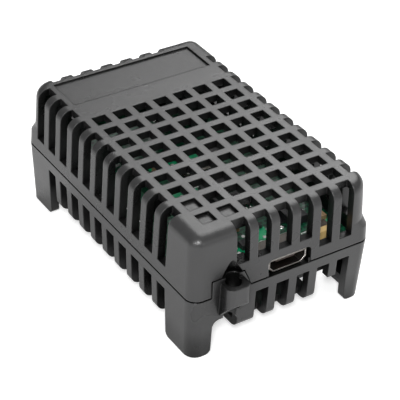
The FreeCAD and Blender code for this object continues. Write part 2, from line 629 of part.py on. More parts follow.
# Circuit board
def make_circuit_board():
    body = new_body("circuit_board")
    plan = rounded(body, "plan", "XY_Plane", ("0", "0", BOARD_UNDER),
                   "case_width - 2 * wall - 2 * board_gap", "case_length - 2 * wall - 2 * board_gap",
                   "board_corner", start=(31.0, 51.0))
    pad(body, "board", plan, "board_thickness")
    above = f"{BOARD_TOP} + {SPARE}"
    moat = rectangle(body, "moat_plan", "XY_Plane",
                     ("sensor_x", "tongue_root - (tongue_length + tongue_moat) / 2", above),
                     "tongue_width + 2 * tongue_moat", "tongue_length + tongue_moat")
    pocket(body, "moat", moat, f"board_thickness + 2 * {SPARE}")
    tongue = rectangle(body, "tongue_plan", "XY_Plane",
                       ("sensor_x", "tongue_root - tongue_length / 2 + 0.25", BOARD_UNDER),
                       "tongue_width", "tongue_length + 0.5")
    pad(body, "tongue", tongue, "board_thickness")
    screw = circle(body, "screw_hole_plan", (f"-{SCREW_X}", f"-{SCREW_Y}", above),
                   "screw_diameter + 2 * fit_gap")
    screw = pocket(body, "screw_hole", screw, f"board_thickness + 2 * {SPARE}")
    pin = circle(body, "pin_hole_plan", (SCREW_X, f"-{SCREW_Y}", above), "pin_diameter + fit_gap")
    pin = pocket(body, "pin_hole", pin, f"board_thickness + 2 * {SPARE}")
    repeated(body, "fixing_holes", [screw, pin], turned=2)
    return body


# Socket
def socket_outline(body, name, inset, y):
    """Outline of the socket, wide side up, drawn in by an inset."""
    half = f"(socket_width / 2 - {inset})"
    chamfer = f"(socket_chamfer - 0.586 * {inset})"
    foot, head = inset, f"(socket_height - {inset})"
    shoulder = f"{foot} + {chamfer}"
    return polygon(body, name, "XZ_Plane", ("port_x", BOARD_TOP, f"-({y})"),
                   [((-3.7, f"-{half}"), (2.4, head)), ((-3.7, f"-{half}"), (1.0, shoulder)),
                    ((-2.8, f"{chamfer} - {half}"), (0.1, foot)),
                    ((2.8, f"{half} - {chamfer}"), (0.1, foot)),
                    ((3.7, half), (1.0, shoulder)), ((3.7, half), (2.4, head))])


def make_socket():
    back = f"{MOUTH_Y} + socket_depth"
    body = new_body("usb_socket_shell")
    pad(body, "tube", socket_outline(body, "tube_outline", "0", back), "socket_depth")
    bore = socket_outline(body, "bore_outline", "socket_sheet", f"{MOUTH_Y} - {SPARE}")
    pocket(body, "bore", bore, f"socket_depth + 2 * {SPARE}")
    for index, y in enumerate(("1.4", "socket_depth - 1.1")):
        tab = rectangle(body, f"tab_plan_{index}", "XY_Plane",
                        ("port_x", f"{MOUTH_Y} + {y}", BOARD_TOP),
                        "socket_width + 2 * solder_tab", "solder_tab + 0.2")
        pad(body, f"tab_{index}", tab, "socket_sheet")
    return body


def make_insulator():
    back = f"{MOUTH_Y} + socket_depth"
    body = new_body("usb_socket_insulator")
    pad(body, "block", socket_outline(body, "block_outline", "(socket_sheet + socket_play)", back),
        "socket_back")
    middle = f"{BOARD_TOP} + socket_height / 2 + blade_rise"
    blade = rectangle(body, "blade_outline", "XZ_Plane", ("port_x", middle, f"-({back} - socket_back / 2)"),
                      "blade_width", "blade_height")
    pad(body, "blade", blade, "socket_depth - socket_back / 2 - contact_inset")
    under = f"{middle} - blade_height / 2 - contact_height / 2"
    channel = rectangle(body, "channel_outline", "XZ_Plane",
                        ("port_x - 2 * contact_pitch", under, f"-({MOUTH_Y})"),
                        "contact_width", "contact_height")
    channel = pocket(body, "channel", channel, f"socket_depth + {SPARE}")
    repeated(body, "channels", [channel], "X_Axis", 5, step="contact_pitch")
    return body


def make_contact(number):
    body = new_body(f"usb_contact_{number}")
    middle = "socket_height / 2 + blade_rise"
    head, foot = f"({middle} - blade_height / 2)", f"({middle} - blade_height / 2 - contact_height)"
    rear = "(socket_depth + 0.3)"
    outline = polygon(body, "outline", "YZ_Plane",
                      (MOUTH_Y, BOARD_TOP, f"port_x + {number - 3} * contact_pitch"),
                      [((1.0, "contact_inset + 0.3"), (1.2, head)),
                       ((5.6, f"{rear} + contact_height"), (1.2, head)),
                       ((5.6, f"{rear} + contact_height"), (0.1, "contact_height")),
                       ((6.3, f"{rear} + 0.7"), (0.1, "contact_height")),
                       ((6.3, f"{rear} + 0.7"), (0.0, "0")),
                       ((5.4, rear), (0.0, "0")), ((5.4, rear), (1.1, foot)),
                       ((1.0, "contact_inset + 0.3"), (1.1, foot))])
    pad(body, "strip", outline, "contact_width", both_ways=True)
    return body


# Parts on the board: each is drawn round its own middle and then placed
def place(body, x, y):
    body.setExpression("Placement.Base.x", bound(x))
    body.setExpression("Placement.Base.y", bound(y))
    body.setExpression("Placement.Base.z", bound(BOARD_TOP))
    return body


def lead_row(body, name, half, height, start, count, step, turned, width="lead_width"):
    """Bent leads along one side of a package, then turned about its middle."""
    knee = f"({height} / 2)"
    outline = polygon(body, name + "_outline", "XZ_Plane", ("0", "0", start),
                      [((0.7, f"{half} - 0.1"), (0.6, knee)), ((1.0, f"{half} + 0.35"), (0.6, knee)),
                       ((1.2, f"{half} + lead_reach - lead_foot + 0.1"), (0.15, "lead_sheet")),
                       ((1.8, f"{half} + lead_reach"), (0.15, "lead_sheet")),
                       ((1.8, f"{half} + lead_reach"), (0.0, "0")),
                       ((1.1, f"{half} + lead_reach - lead_foot"), (0.0, "0")),
                       ((0.9, f"{half} + 0.25"), (0.45, f"{knee} - lead_sheet")),
                       ((0.7, f"{half} - 0.1"), (0.45, f"{knee} - lead_sheet"))])
    lead = pad(body, name, outline, width, both_ways=True)
    if count > 1 or turned:
        repeated(body, name + "s", [lead], "Y_Axis" if count > 1 else None, count, step=step, turned=turned)


def package_block(body, wide, deep, height):
    block = rectangle(body, "block_plan", "XY_Plane", ("0", "0", "standoff"), wide, deep)
    pad(body, "block", block, f"{height} - standoff")


def make_microcontroller():
    body = new_body("microcontroller")
    package_block(body, "controller_side", "controller_side", "controller_height")
    lead_row(body, "lead", "(controller_side / 2)", "controller_height", "3.5 * controller_pitch", 8,
             "controller_pitch", 4)
    return place(body, "controller_x", "controller_y")


def make_temperature_sensor():
    body = new_body("temperature_sensor")
    package_block(body, "sensor_length", "sensor_width", "sensor_height")
    lead_plane_parts(body, "sensor_width", "sensor_height", "sensor_pitch")
    return place(body, "sensor_x", "tongue_root - tongue_length + sensor_inset")


def lead_plane_parts(body, width, height, step):
    """Three leads on each long side of a small package."""
    knee = f"({height} / 2)"
    half = f"({width} / 2)"
    outline = polygon(body, "lead_outline", "YZ_Plane", ("0", "0", f"-{step}"),
                      [((0.7, f"{half} - 0.1"), (0.6, knee)), ((0.95, f"{half} + 0.15"), (0.6, knee)),
                       ((1.05, f"{half} + 0.25"), (0.15, "lead_sheet")),
                       ((1.3, f"{half} + 0.55"), (0.15, "lead_sheet")),
                       ((1.3, f"{half} + 0.55"), (0.0, "0")), ((1.0, f"{half} + 0.1"), (0.0, "0")),
                       ((0.9, f"{half} + 0.05"), (0.45, f"{knee} - lead_sheet")),
                       ((0.7, f"{half} - 0.1"), (0.45, f"{knee} - lead_sheet"))])
    lead = pad(body, "lead", outline, "lead_width", both_ways=True)
    repeated(body, "leads", [lead], "X_Axis", 3, step=step, turned=2)


def make_surge_protector():
    body = new_body("surge_protector")
    package_block(body, "protector_length", "protector_width", "sensor_height")
    lead_plane_parts(body, "protector_width", "sensor_height", "sensor_pitch")
    return place(body, "protector_x", "protector_y")


def make_voltage_regulator():
    body = new_body("voltage_regulator")
    package_block(body, "regulator_width", "regulator_length", "regulator_height")
    lead_row(body, "lead", "(regulator_width / 2)", "regulator_height", "regulator_pitch", 3,
             "regulator_pitch", 0, width="2 * lead_width")
    tab = rectangle(body, "tab_plan", "XY_Plane", ("-(regulator_width + lead_reach) / 2", "0", "0"),
                    "lead_reach + 0.4", "regulator_tab")
    pad(body, "tab", tab, "2 * lead_sheet")
    return place(body, "regulator_x", "regulator_y")


def make_crystal():
    body = new_body("crystal")
    flange = rounded(body, "flange_plan", "XY_Plane", ("0", "0", "0"), "crystal_length + 2 * crystal_flange",
                     "crystal_width + 2 * crystal_flange", "0.5 + crystal_flange", start=(5.0, 3.0))
    pad(body, "flange", flange, "crystal_flange")
    can = rounded(body, "can_plan", "XY_Plane", ("0", "0", "0"), "crystal_length", "crystal_width", "0.5",
                  start=(5.0, 3.0))
    pad(body, "can", can, "crystal_height")
    return place(body, "crystal_x", "crystal_y")


def make_capped(name, length, width, height, cap, x, y):
    """Block with an end cap on each end."""
    body = new_body(name)
    core = rectangle(body, "core_plan", "XY_Plane", ("0", "0", "cap_margin"), f"{length} - {cap}", width)
    pad(body, "core", core, height)
    end = rectangle(body, "cap_plan", "XY_Plane", (f"({length} - {cap}) / 2", "0", "0"), cap,
                    f"{width} + 2 * cap_margin")
    end = pad(body, "cap", end, f"{height} + 2 * cap_margin")
    repeated(body, "caps", [end], turned=2)
    return place(body, x, y)


def make_status_led():
    body = new_body("status_led")
    base = rectangle(body, "base_plan", "XY_Plane", ("0", "0", "0"), "small_length", "small_width")
    pad(body, "base", base, "light_height")
    lens = rectangle(body, "lens_plan", "XY_Plane", ("0", "0", "light_height"),
                     "small_length - 2 * small_cap", "small_width")
    pad(body, "lens", lens, "light_lens")
    return place(body, "status_led_x", "status_led_y")


# Case screws, driven in from below
def make_case_screw(name, sign):
    body = new_body(name)
    under = f"{PLATE} + head_sink - head_height"
    head = circle(body, "head_plan", ("0", "0", under), "head_diameter")
    pad(body, "head", head, "head_height")
    shank = circle(body, "shank_plan", ("0", "0", f"{under} + head_height / 2"), "screw_diameter")
    pad(body, "shank", shank, "head_height / 2 + screw_length")
    arm = "head_diameter * 0.6"
    for index, (wide, tall) in enumerate(((arm, "head_recess"), ("head_recess", arm))):
        slot = rectangle(body, f"drive_plan_{index}", "XY_Plane", ("0", "0", under), wide, tall)
        pocket(body, f"drive_{index}", slot, "head_recess", reverse=True)
    body.setExpression("Placement.Base.x", bound(f"{sign} * {SCREW_X}"))
    body.setExpression("Placement.Base.y", bound(f"{sign} * {SCREW_Y}"))
    return body


parts = [
    make_cover(),
    make_base(),
    make_circuit_board(),
    make_socket(),
    make_insulator(),
    make_microcontroller(),
    make_temperature_sensor(),
    make_surge_protector(),
    make_voltage_regulator(),
    make_crystal(),
    make_status_led(),
    make_case_screw("case_screw_front", "-1"),
    make_case_screw("case_screw_back", "1"),
    make_capped("tantalum_capacitor", "tantalum_length", "tantalum_width", "tantalum_height", "small_cap",
                "tantalum_x", "tantalum_y"),
    make_capped("ferrite_bead", "small_length", "small_width", "bead_height", "small_cap",
                "ferrite_bead_x", "ferrite_bead_y"),
]
parts += [make_contact(number) for number in range(1, 6)]
for kind in ("capacitor", "resistor"):
    for number in range(1, 5):
        name = f"{kind}_{number}"
        parts.append(make_capped(name, "small_length", "small_width", f"{kind}_height", "small_cap",
                                 name + "_x", name + "_y"))

# Recompute, check and write
doc.recompute()
for item in doc.Objects:
    if "Invalid" in item.State or "Error" in item.State:
        raise RuntimeError(f"{item.Name} did not compute: {item.State}")
for body in parts:
    shape = body.Shape
    if shape.isNull() or not shape.isValid() or len(shape.Solids) != 1:
        raise RuntimeError(f"{body.Label} is not one sound solid")
os.makedirs("parts", exist_ok=True)
for body in parts:
    body.Shape.exportStep(f"parts/{body.Label}.step")
    print(f"{body.Label}: {body.Shape.Volume:.1f} mm3")
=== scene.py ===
# %% [markdown]
# # Rack temperature sensor
# A small plastic box that stands in a server rack and measures the air round it. Two vented
# shells meet at a split line, a green circuit board lies between them, and a micro USB socket
# looks out of one end. The CAD model gives every solid its place and stays as it is. This file
# gives each solid its finish, adds solder, pads, ink and plated holes to the board, and lights
# the scene. All lengths are in metres unless a line says otherwise.

# %% Load the frame
import json
import math

import bpy
from mathutils import Matrix, Vector


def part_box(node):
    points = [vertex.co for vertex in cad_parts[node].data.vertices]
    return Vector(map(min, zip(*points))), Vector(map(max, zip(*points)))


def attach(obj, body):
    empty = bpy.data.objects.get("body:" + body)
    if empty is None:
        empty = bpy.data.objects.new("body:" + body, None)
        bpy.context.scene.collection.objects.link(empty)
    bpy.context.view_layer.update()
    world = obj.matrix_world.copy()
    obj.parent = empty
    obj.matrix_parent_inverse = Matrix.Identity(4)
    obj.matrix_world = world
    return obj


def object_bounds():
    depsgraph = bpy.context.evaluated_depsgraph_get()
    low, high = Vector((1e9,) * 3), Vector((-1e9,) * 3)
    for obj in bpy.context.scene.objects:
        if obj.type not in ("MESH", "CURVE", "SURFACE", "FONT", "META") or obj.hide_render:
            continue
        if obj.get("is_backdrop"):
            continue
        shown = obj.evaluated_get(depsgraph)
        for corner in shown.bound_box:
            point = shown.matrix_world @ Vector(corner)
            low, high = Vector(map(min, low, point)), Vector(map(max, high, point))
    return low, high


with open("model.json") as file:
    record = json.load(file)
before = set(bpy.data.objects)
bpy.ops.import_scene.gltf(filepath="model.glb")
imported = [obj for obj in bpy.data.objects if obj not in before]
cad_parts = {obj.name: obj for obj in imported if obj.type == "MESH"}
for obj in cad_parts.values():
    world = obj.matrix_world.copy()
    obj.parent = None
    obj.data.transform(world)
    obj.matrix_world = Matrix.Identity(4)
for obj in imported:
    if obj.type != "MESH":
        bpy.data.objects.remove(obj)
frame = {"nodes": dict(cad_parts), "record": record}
nodes = frame["nodes"]
scene = bpy.context.scene
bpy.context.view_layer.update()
MM = 0.001

# %% [markdown]
# ## Camera
# The photographer stood to the left of the socket end and looked down at 35 degrees, with the
# camera rolled a little. A camera placed by eye would leave the slots some pixels off, so it was
# solved from the grid of square holes, whose spacing is known. The long lens keeps the far end
# nearly as large as the near one.

# %% Camera
azimuth, elevation, roll = (math.radians(angle) for angle in (-34.149, 35.273, 2.433))
distance_mm, focal_length_mm, sensor_width_mm = 263.8, 140.85, 36
right = Vector((math.cos(azimuth), math.sin(azimuth), 0))
back = Vector((math.sin(azimuth) * math.cos(elevation), -math.cos(azimuth) * math.cos(elevation),
               math.sin(elevation)))
above = back.cross(right)
camera_right = math.cos(roll) * right + math.sin(roll) * above
camera_up = back.cross(camera_right)
camera_data = bpy.data.cameras.new("camera")
camera_data.sensor_width = sensor_width_mm
camera_data.lens = focal_length_mm
camera_data.clip_start = 0.01
camera = bpy.data.objects.new("camera", camera_data)
scene.collection.objects.link(camera)
turn = Matrix((camera_right, camera_up, back)).transposed().to_4x4()
look_at = Vector((-3.96, -8.46, 15.65)) * MM
camera.matrix_world = Matrix.Translation(look_at + back * distance_mm * MM) @ turn
scene.camera = camera
print(f"camera at {[round(v / MM, 1) for v in camera.matrix_world.translation]} mm")

# %% [markdown]
# ## Helpers
# The world, the floor and every material are webs of nodes, and most of their steps are a sum or
# a product. Each could be written out in four lines. A function that takes a number or a socket
# for each input makes it one line, so that a finish reads like a short formula.

# %% Helpers for node trees
def wire(tree, *pairs):
    for source, target in pairs:
        tree.links.new(source, target)


def math_node(tree, operation, first, second, clamp=False):
    node = tree.nodes.new("ShaderNodeMath")
    node.operation = operation
    node.use_clamp = clamp
    for index, value in enumerate((first, second)):
        if isinstance(value, (int, float)):
            node.inputs[index].default_value = value
        else:
            tree.links.new(value, node.inputs[index])
    return node.outputs[0]


print("node helpers ready")

# %% [markdown]
# ## Light
# The part is nearly black, so its shape shows through soft highlights. A broad panel stands high
# behind it and grazes the top bars. A small one hangs over the near corner and puts the bright
# spots on the rounded edges. One at the left serves the long side, and a weak one in front keeps
# the socket end readable. A white tent round the part would be simpler, but light from all sides
# turns the black slots grey. So the world is white to the camera, as in the photograph, and
# gives nearly no light.

# %% Lamps
scene.view_settings.view_transform = "Standard"


def area_lamp(name, place, aim, width, watts):
    data = bpy.data.lights.new(name, "AREA")
    data.shape = "DISK"
    data.size = width
    data.energy = watts
    lamp = bpy.data.objects.new(name, data)
    scene.collection.objects.link(lamp)
    lamp.location = place
    lamp.rotation_euler = (Vector(aim) - Vector(place)).to_track_quat("-Z", "Y").to_euler()


area_lamp("panel_behind", (0.24, 0.16, 0.34), (0, 0, 0.015), 0.42, 1.85)
area_lamp("panel_over", (-0.20, -0.28, 0.30), (0, 0, 0.01), 0.09, 1.5)
area_lamp("panel_left", (-0.38, -0.16, 0.22), (0, 0, 0.01), 0.12, 0.4)
area_lamp("panel_front", (0.10, -0.42, 0.16), (0, 0, 0.01), 0.16, 0.2)
print(f"{len(bpy.data.lights)} lamps")

# %% World
world_seen, world_fill = 1.0, 0.05
world = bpy.data.worlds.new("studio")
scene.world = world
world.use_nodes = True
web = world.node_tree
web.nodes.clear()
path = web.nodes.new("ShaderNodeLightPath")
seen = math_node(web, "MAXIMUM", path.outputs["Is Camera Ray"], path.outputs["Is Transmission Ray"])
strength = web.nodes.new("ShaderNodeMapRange")
strength.inputs["To Min"].default_value = world_fill
strength.inputs["To Max"].default_value = world_seen
glow = web.nodes.new("ShaderNodeBackground")
glow.inputs["Color"].default_value = (1, 1, 1, 1)
out = web.nodes.new("ShaderNodeOutputWorld")
wire(web, (seen, strength.inputs["Value"]), (strength.outputs["Result"], glow.inputs["Strength"]),
     (glow.outputs[0], out.inputs["Surface"]))
print("world white to the camera, faint as a light")

# %% [markdown]
# ## Floor
# The photograph has no background at all. Without a floor the part would hang in white, so a
# pale one carries the legs. It glows to the camera, and only a soft shadow is left of it under
# the part. A glossy surface mirrors a quarter of that glow, or the polished edges would turn
# white from below. The lamps light the floor as usual.

# %% Floor
floor_span, floor_drop = 1.6, 0.2 * MM
floor_glow, mirrored_share = 0.5, 0.25
corners = [(x * floor_span, y * floor_span, 0) for x, y in ((-1, -1), (1, -1), (1, 1), (-1, 1))]
floor_mesh = bpy.data.meshes.new("floor")
floor_mesh.from_pydata(corners, [], [(0, 1, 2, 3)])
floor = bpy.data.objects.new("floor", floor_mesh)
floor.location.z = -floor_drop
scene.collection.objects.link(floor)
floor_paint = bpy.data.materials.new("floor")
floor_paint.use_nodes = True
web = floor_paint.node_tree
shader = web.nodes["Principled BSDF"]
shader.inputs["Base Color"].default_value = (0.88, 0.88, 0.88, 1)
shader.inputs["Roughness"].default_value = 0.9
shader.inputs["Specular IOR Level"].default_value = 0.0
path = web.nodes.new("ShaderNodeLightPath")
mirrored = math_node(web, "MULTIPLY", path.outputs["Is Glossy Ray"], mirrored_share)
lit = math_node(web, "MAXIMUM", path.outputs["Is Camera Ray"], mirrored)
glow = web.nodes.new("ShaderNodeEmission")
glow.inputs["Color"].default_value = (1, 1, 1, 1)
both = web.nodes.new("ShaderNodeAddShader")
wire(web, (math_node(web, "MULTIPLY", lit, floor_glow), glow.inputs["Strength"]),
     (shader.outputs[0], both.inputs[0]), (glow.outputs[0], both.inputs[1]),
     (both.outputs[0], web.nodes["Material Output"].inputs["Surface"]))
floor_mesh.materials.append(floor_paint)
floor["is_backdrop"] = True
print("floor laid")

# %% [markdown]
# ## Moulded grain
# Moulded plastic carries the print of its tool, which was eroded by sparks and feels like fine
# sandpaper. A picture of that grain would show its seams on a part that is seen from all sides,
# so noise on the object's own coordinates makes it: fine noise and small pits give the height,
# and a broad noise swings the colour and the gloss a little, as on any handled part. Each effect
# is a node group built once, and each material sets its own values on the group's named inputs.

# %% Groups with named sockets
NUMBER, VECTOR = "NodeSocketFloat", "NodeSocketVector"


def new_group(name, inputs, outputs):
    """A node group with named number inputs and named outputs of the given kinds."""
    group = bpy.data.node_groups.new(name, "ShaderNodeTree")
    for label, value in inputs.items():
        socket = group.interface.new_socket(label, in_out="INPUT", socket_type=NUMBER)
        socket.default_value = value
    for label, kind in outputs.items():
        group.interface.new_socket(label, in_out="OUTPUT", socket_type=kind)
    return group, group.nodes.new("NodeGroupInput"), group.nodes.new("NodeGroupOutput")


print("groups take named numbers and give named outputs")

# %% Moulded grain
broad_scale, pit_share, gloss_swing = 140, 0.5, 0.25
grain, start, end = new_group("moulded_grain", {"Scale": 5000.0, "Mottle": 0.1},
                              {"Height": NUMBER, "Shade": NUMBER, "Rough": NUMBER})
place = grain.nodes.new("ShaderNodeTexCoord")
fine = grain.nodes.new("ShaderNodeTexNoise")
fine.inputs["Detail"].default_value = 4
fine.inputs["Roughness"].default_value = 0.65
pits = grain.nodes.new("ShaderNodeTexVoronoi")
broad = grain.nodes.new("ShaderNodeTexNoise")
broad.inputs["Scale"].default_value = broad_scale
broad.inputs["Detail"].default_value = 3
for texture in (fine, pits, broad):
    wire(grain, (place.outputs["Object"], texture.inputs["Vector"]))
for texture in (fine, pits):
    wire(grain, (start.outputs["Scale"], texture.inputs["Scale"]))
depth = math_node(grain, "MULTIPLY", pits.outputs["Distance"], pit_share)
height = math_node(grain, "ADD", fine.outputs["Fac"], depth)
swing = math_node(grain, "SUBTRACT", broad.outputs["Fac"], 0.5)
shade = math_node(grain, "ADD", math_node(grain, "MULTIPLY", swing, start.outputs["Mottle"]), 1.0)
rough = math_node(grain, "MULTIPLY", swing, gloss_swing)
wire(grain, (height, end.inputs["Height"]), (shade, end.inputs["Shade"]),
     (rough, end.inputs["Rough"]))
print("group moulded_grain built")

# %% [markdown]
# ## Soft edges
# A moulded or stamped edge is never quite sharp, and light catches on its small radius. Real
# bevels on every slot of the two shells would multiply their faces, and the CAD meshes stay as
# they are. The Bevel node bends the shading instead, as if the edge were rounded. Where its
# normal leaves the true one the surface is an edge, and that mask also serves for wear, and on
# the socket's steel rim for a painted highlight.

# %% Soft edges
bevel_samples, edge_gain = 6, 3.0
edges, start, end = new_group("soft_edges", {"Radius": 0.0002}, {"Normal": VECTOR, "Edge": NUMBER})
bevel = edges.nodes.new("ShaderNodeBevel")
bevel.samples = bevel_samples
flat = edges.nodes.new("ShaderNodeNewGeometry")
dot = edges.nodes.new("ShaderNodeVectorMath")
dot.operation = "DOT_PRODUCT"
bent = math_node(edges, "SUBTRACT", 1.0, dot.outputs["Value"])
wire(edges, (start.outputs["Radius"], bevel.inputs["Radius"]), (bevel.outputs[0], dot.inputs[0]),
     (flat.outputs["Normal"], dot.inputs[1]), (bevel.outputs[0], end.inputs["Normal"]),
     (math_node(edges, "MULTIPLY", bent, edge_gain, clamp=True), end.inputs["Edge"]))
print("group soft_edges built")

# %% [markdown]
# ## Dust
# Air passes through the box all its life, and a little dust settles on what faces up. A film of
# even grey would look like paint, so noise breaks it into specks, and the upward part of the
# normal decides where it may lie.

# %% Settled dust
dust, start, end = new_group("settled_dust", {"Amount": 0.1, "Scale": 900.0}, {"Mask": NUMBER})
place = dust.nodes.new("ShaderNodeTexCoord")
specks = dust.nodes.new("ShaderNodeTexNoise")
specks.inputs["Detail"].default_value = 6
flat = dust.nodes.new("ShaderNodeNewGeometry")
split = dust.nodes.new("ShaderNodeSeparateXYZ")
wire(dust, (place.outputs["Object"], specks.inputs["Vector"]),
     (start.outputs["Scale"], specks.inputs["Scale"]), (flat.outputs["Normal"], split.inputs[0]))
facing_up = math_node(dust, "MAXIMUM", split.outputs["Z"], 0.0)
speckle = math_node(dust, "POWER", specks.outputs["Fac"], 2.0)
lying = math_node(dust, "MULTIPLY", facing_up, speckle)
wire(dust, (math_node(dust, "MULTIPLY", lying, start.outputs["Amount"]), end.inputs["Mask"]))
print("group settled_dust built")

# %% [markdown]
# ## Shade in cavities
# In the photograph the slots of the black case are black, because light that enters them is
# swallowed after a few bounces. Dimmer lamps would darken the outside too. The ambient occlusion
# node finds how open a place is: the mask is 1 on an open face and 0 deep inside a hole, and the
# contrast says how fast it falls.

# %% Shade in cavities
# The finishes mix a dark colour into the base colour where this mask falls: painted shade.
cavity, start, end = new_group("cavity_shade", {"Reach": 0.004, "Contrast": 1.6}, {"Open": NUMBER})
blocked = cavity.nodes.new("ShaderNodeAmbientOcclusion")
blocked.samples = 8
opened = math_node(cavity, "POWER", blocked.outputs["AO"], start.outputs["Contrast"])
wire(cavity, (start.outputs["Reach"], blocked.inputs["Distance"]), (opened, end.inputs["Open"]))
print("group cavity_shade built")

# %% [markdown]
# ## Finishes
# One function builds every finish, in this order: a base colour with its pattern, the mottle
# of the material, wear on edges, dust, and painted shade in the cavities. A thin stamped rim lies
# inside the reach of the shade of its own opening, so where the edge colour is a painted
# highlight on such a rim, it goes on last. What differs from finish to finish is only the values.

# %% Groups and mixes in a material
def use(tree, group, **values):
    """Puts a group into a tree with its own values."""
    node = tree.nodes.new("ShaderNodeGroup")
    node.node_tree = group
    for label, value in values.items():
        node.inputs[label].default_value = value
    return node


def mix_colour(tree, factor, first, second, blend="MIX"):
    node = tree.nodes.new("ShaderNodeMix")
    node.data_type = "RGBA"
    node.blend_type = blend
    for index, value in ((0, factor), (6, first), (7, second)):
        if isinstance(value, (int, float, tuple)):
            node.inputs[index].default_value = value
        else:
            tree.links.new(value, node.inputs[index])
    return node.outputs[2]


print("group and mix helpers ready")

# %% Finish builder
DUST_COLOUR = (0.55, 0.54, 0.52, 1.0)


def finish(name, colour, rough, metal=0.0, grain_scale=5000.0, grain_depth=0.00001, mottle=0.1,
           edge_radius=0.0002, edge_colour=None, edge_amount=0.3, dust_amount=0.0, specular=0.5,
           coat=0.0, pattern=None, painted_cavity_shade=None, reach=0.004, contrast=1.6, painted_rim_highlight=False):
    material = bpy.data.materials.new(name)
    material.use_nodes = True
    tree = material.node_tree
    shader = tree.nodes["Principled BSDF"]
    shader.inputs["Metallic"].default_value = metal
    shader.inputs["Specular IOR Level"].default_value = specular
    shader.inputs["Coat Weight"].default_value = coat
    surface = use(tree, grain, Scale=grain_scale, Mottle=mottle)
    border = use(tree, edges, Radius=edge_radius)

    # The edge colour is wear on most finishes and a painted highlight on the socket's steel rim.
    def edge_wear_or_highlight(tint):
        worn_or_lit = math_node(tree, "MULTIPLY", border.outputs["Edge"], edge_amount, clamp=True)
        return mix_colour(tree, worn_or_lit, tint, (*edge_colour, 1.0))

    base = (*colour, 1.0)
    tint = pattern(tree, base) if pattern else base
    grey = tree.nodes.new("ShaderNodeCombineColor")
    for channel in ("Red", "Green", "Blue"):
        tree.links.new(surface.outputs["Shade"], grey.inputs[channel])
    tint = mix_colour(tree, 1.0, tint, grey.outputs[0], "MULTIPLY")
    if edge_colour and not painted_rim_highlight:
        tint = edge_wear_or_highlight(tint)
    if dust_amount:
        layer = use(tree, dust, Amount=dust_amount)
        tint = mix_colour(tree, layer.outputs["Mask"], tint, DUST_COLOUR)
    # Painted shade: the cavity colour goes in where the mask says a place is closed.
    if painted_cavity_shade:
        opening = use(tree, cavity, Reach=reach, Contrast=contrast)
        tint = mix_colour(tree, opening.outputs["Open"], (*painted_cavity_shade, 1.0), tint)
    # On a rim with a painted highlight the edge colour goes on after the painted shade.
    if edge_colour and painted_rim_highlight:
        tint = edge_wear_or_highlight(tint)
    roughness = math_node(tree, "ADD", surface.outputs["Rough"], rough)
    bump = tree.nodes.new("ShaderNodeBump")
    bump.inputs["Distance"].default_value = grain_depth
    wire(tree, (tint, shader.inputs["Base Color"]), (roughness, shader.inputs["Roughness"]),
         (surface.outputs["Height"], bump.inputs["Height"]),
         (border.outputs["Normal"], bump.inputs["Normal"]), (bump.outputs[0], shader.inputs["Normal"]))
    return material


print("finish builder ready")

# %% [markdown]
# ## Housing
# Both shells are the same charcoal ABS. A plain dark colour would look like paint. The grain is
# about a tenth of a millimetre, too fine to see one by one, and it spreads the highlights into
# grey. A deeper bump would show as lines on the bare panel, where they could be taken for
# writing, so the depth is kept low. The shells are CAD meshes, so only their finish changes.

# %% Housing plastic
def dress(material, *names):
    """Puts a finish on CAD nodes."""
    for name in names:
        mesh = nodes[name].data
        mesh.materials.clear()
        mesh.materials.append(material)


# The near-black cavity colour is painted shade in the slots and other closed places of the shells.
housing = finish("housing_plastic", (0.040, 0.040, 0.0405), 0.30, grain_scale=4200,
                 grain_depth=0.00002, mottle=0.3, edge_radius=0.0003, edge_colour=(0.12, 0.12, 0.12),
                 edge_amount=0.4, dust_amount=0.04, specular=0.45, painted_cavity_shade=(0.0004, 0.0004, 0.0004),
                 reach=0.006, contrast=4.0)
dress(housing, "cover", "base")
print("cover and base in housing plastic")

# %% [markdown]
# ## Board
# The board is glass laminate under green solder mask. Where copper lies below, the mask looks
# brighter: in broad areas round the power parts and in thin traces between. The broad areas are
# also painted light: pools that fall on the board through the grid. Modelling a film of a few
# hundredths of a millimetre would add nothing that the eye can see from outside, so it is a
# pattern in the mask's colour. Each area is a centre and a size in millimetres, then how
# strongly the brighter green shows.

# %% Copper under the mask
# The brighter areas are partly copper under the mask and partly painted light, pools falling through
# the grid onto the board.
copper_and_lit_areas = [((2.5, 7.7), (13.0, 1.6), 1.0), ((0.5, -1.3), (11.0, 1.9), 0.8),
                ((-0.5, -20.6), (9.0, 3.6), 0.9), ((2.6, -17.2), (3.2, 3.4), 1.0),
                ((13.6, -20.8), (3.0, 4.0), 1.0), ((-8.0, 15.2), (5.0, 1.8), 0.4)]
copper_and_lit_green = (0.012, 0.46, 0.19, 1.0)
trace_scale, trace_width = 260, 0.05
cell_darker, trace_lighter = 0.8, 2.4
area_fade = 1 / (0.25 * MM)


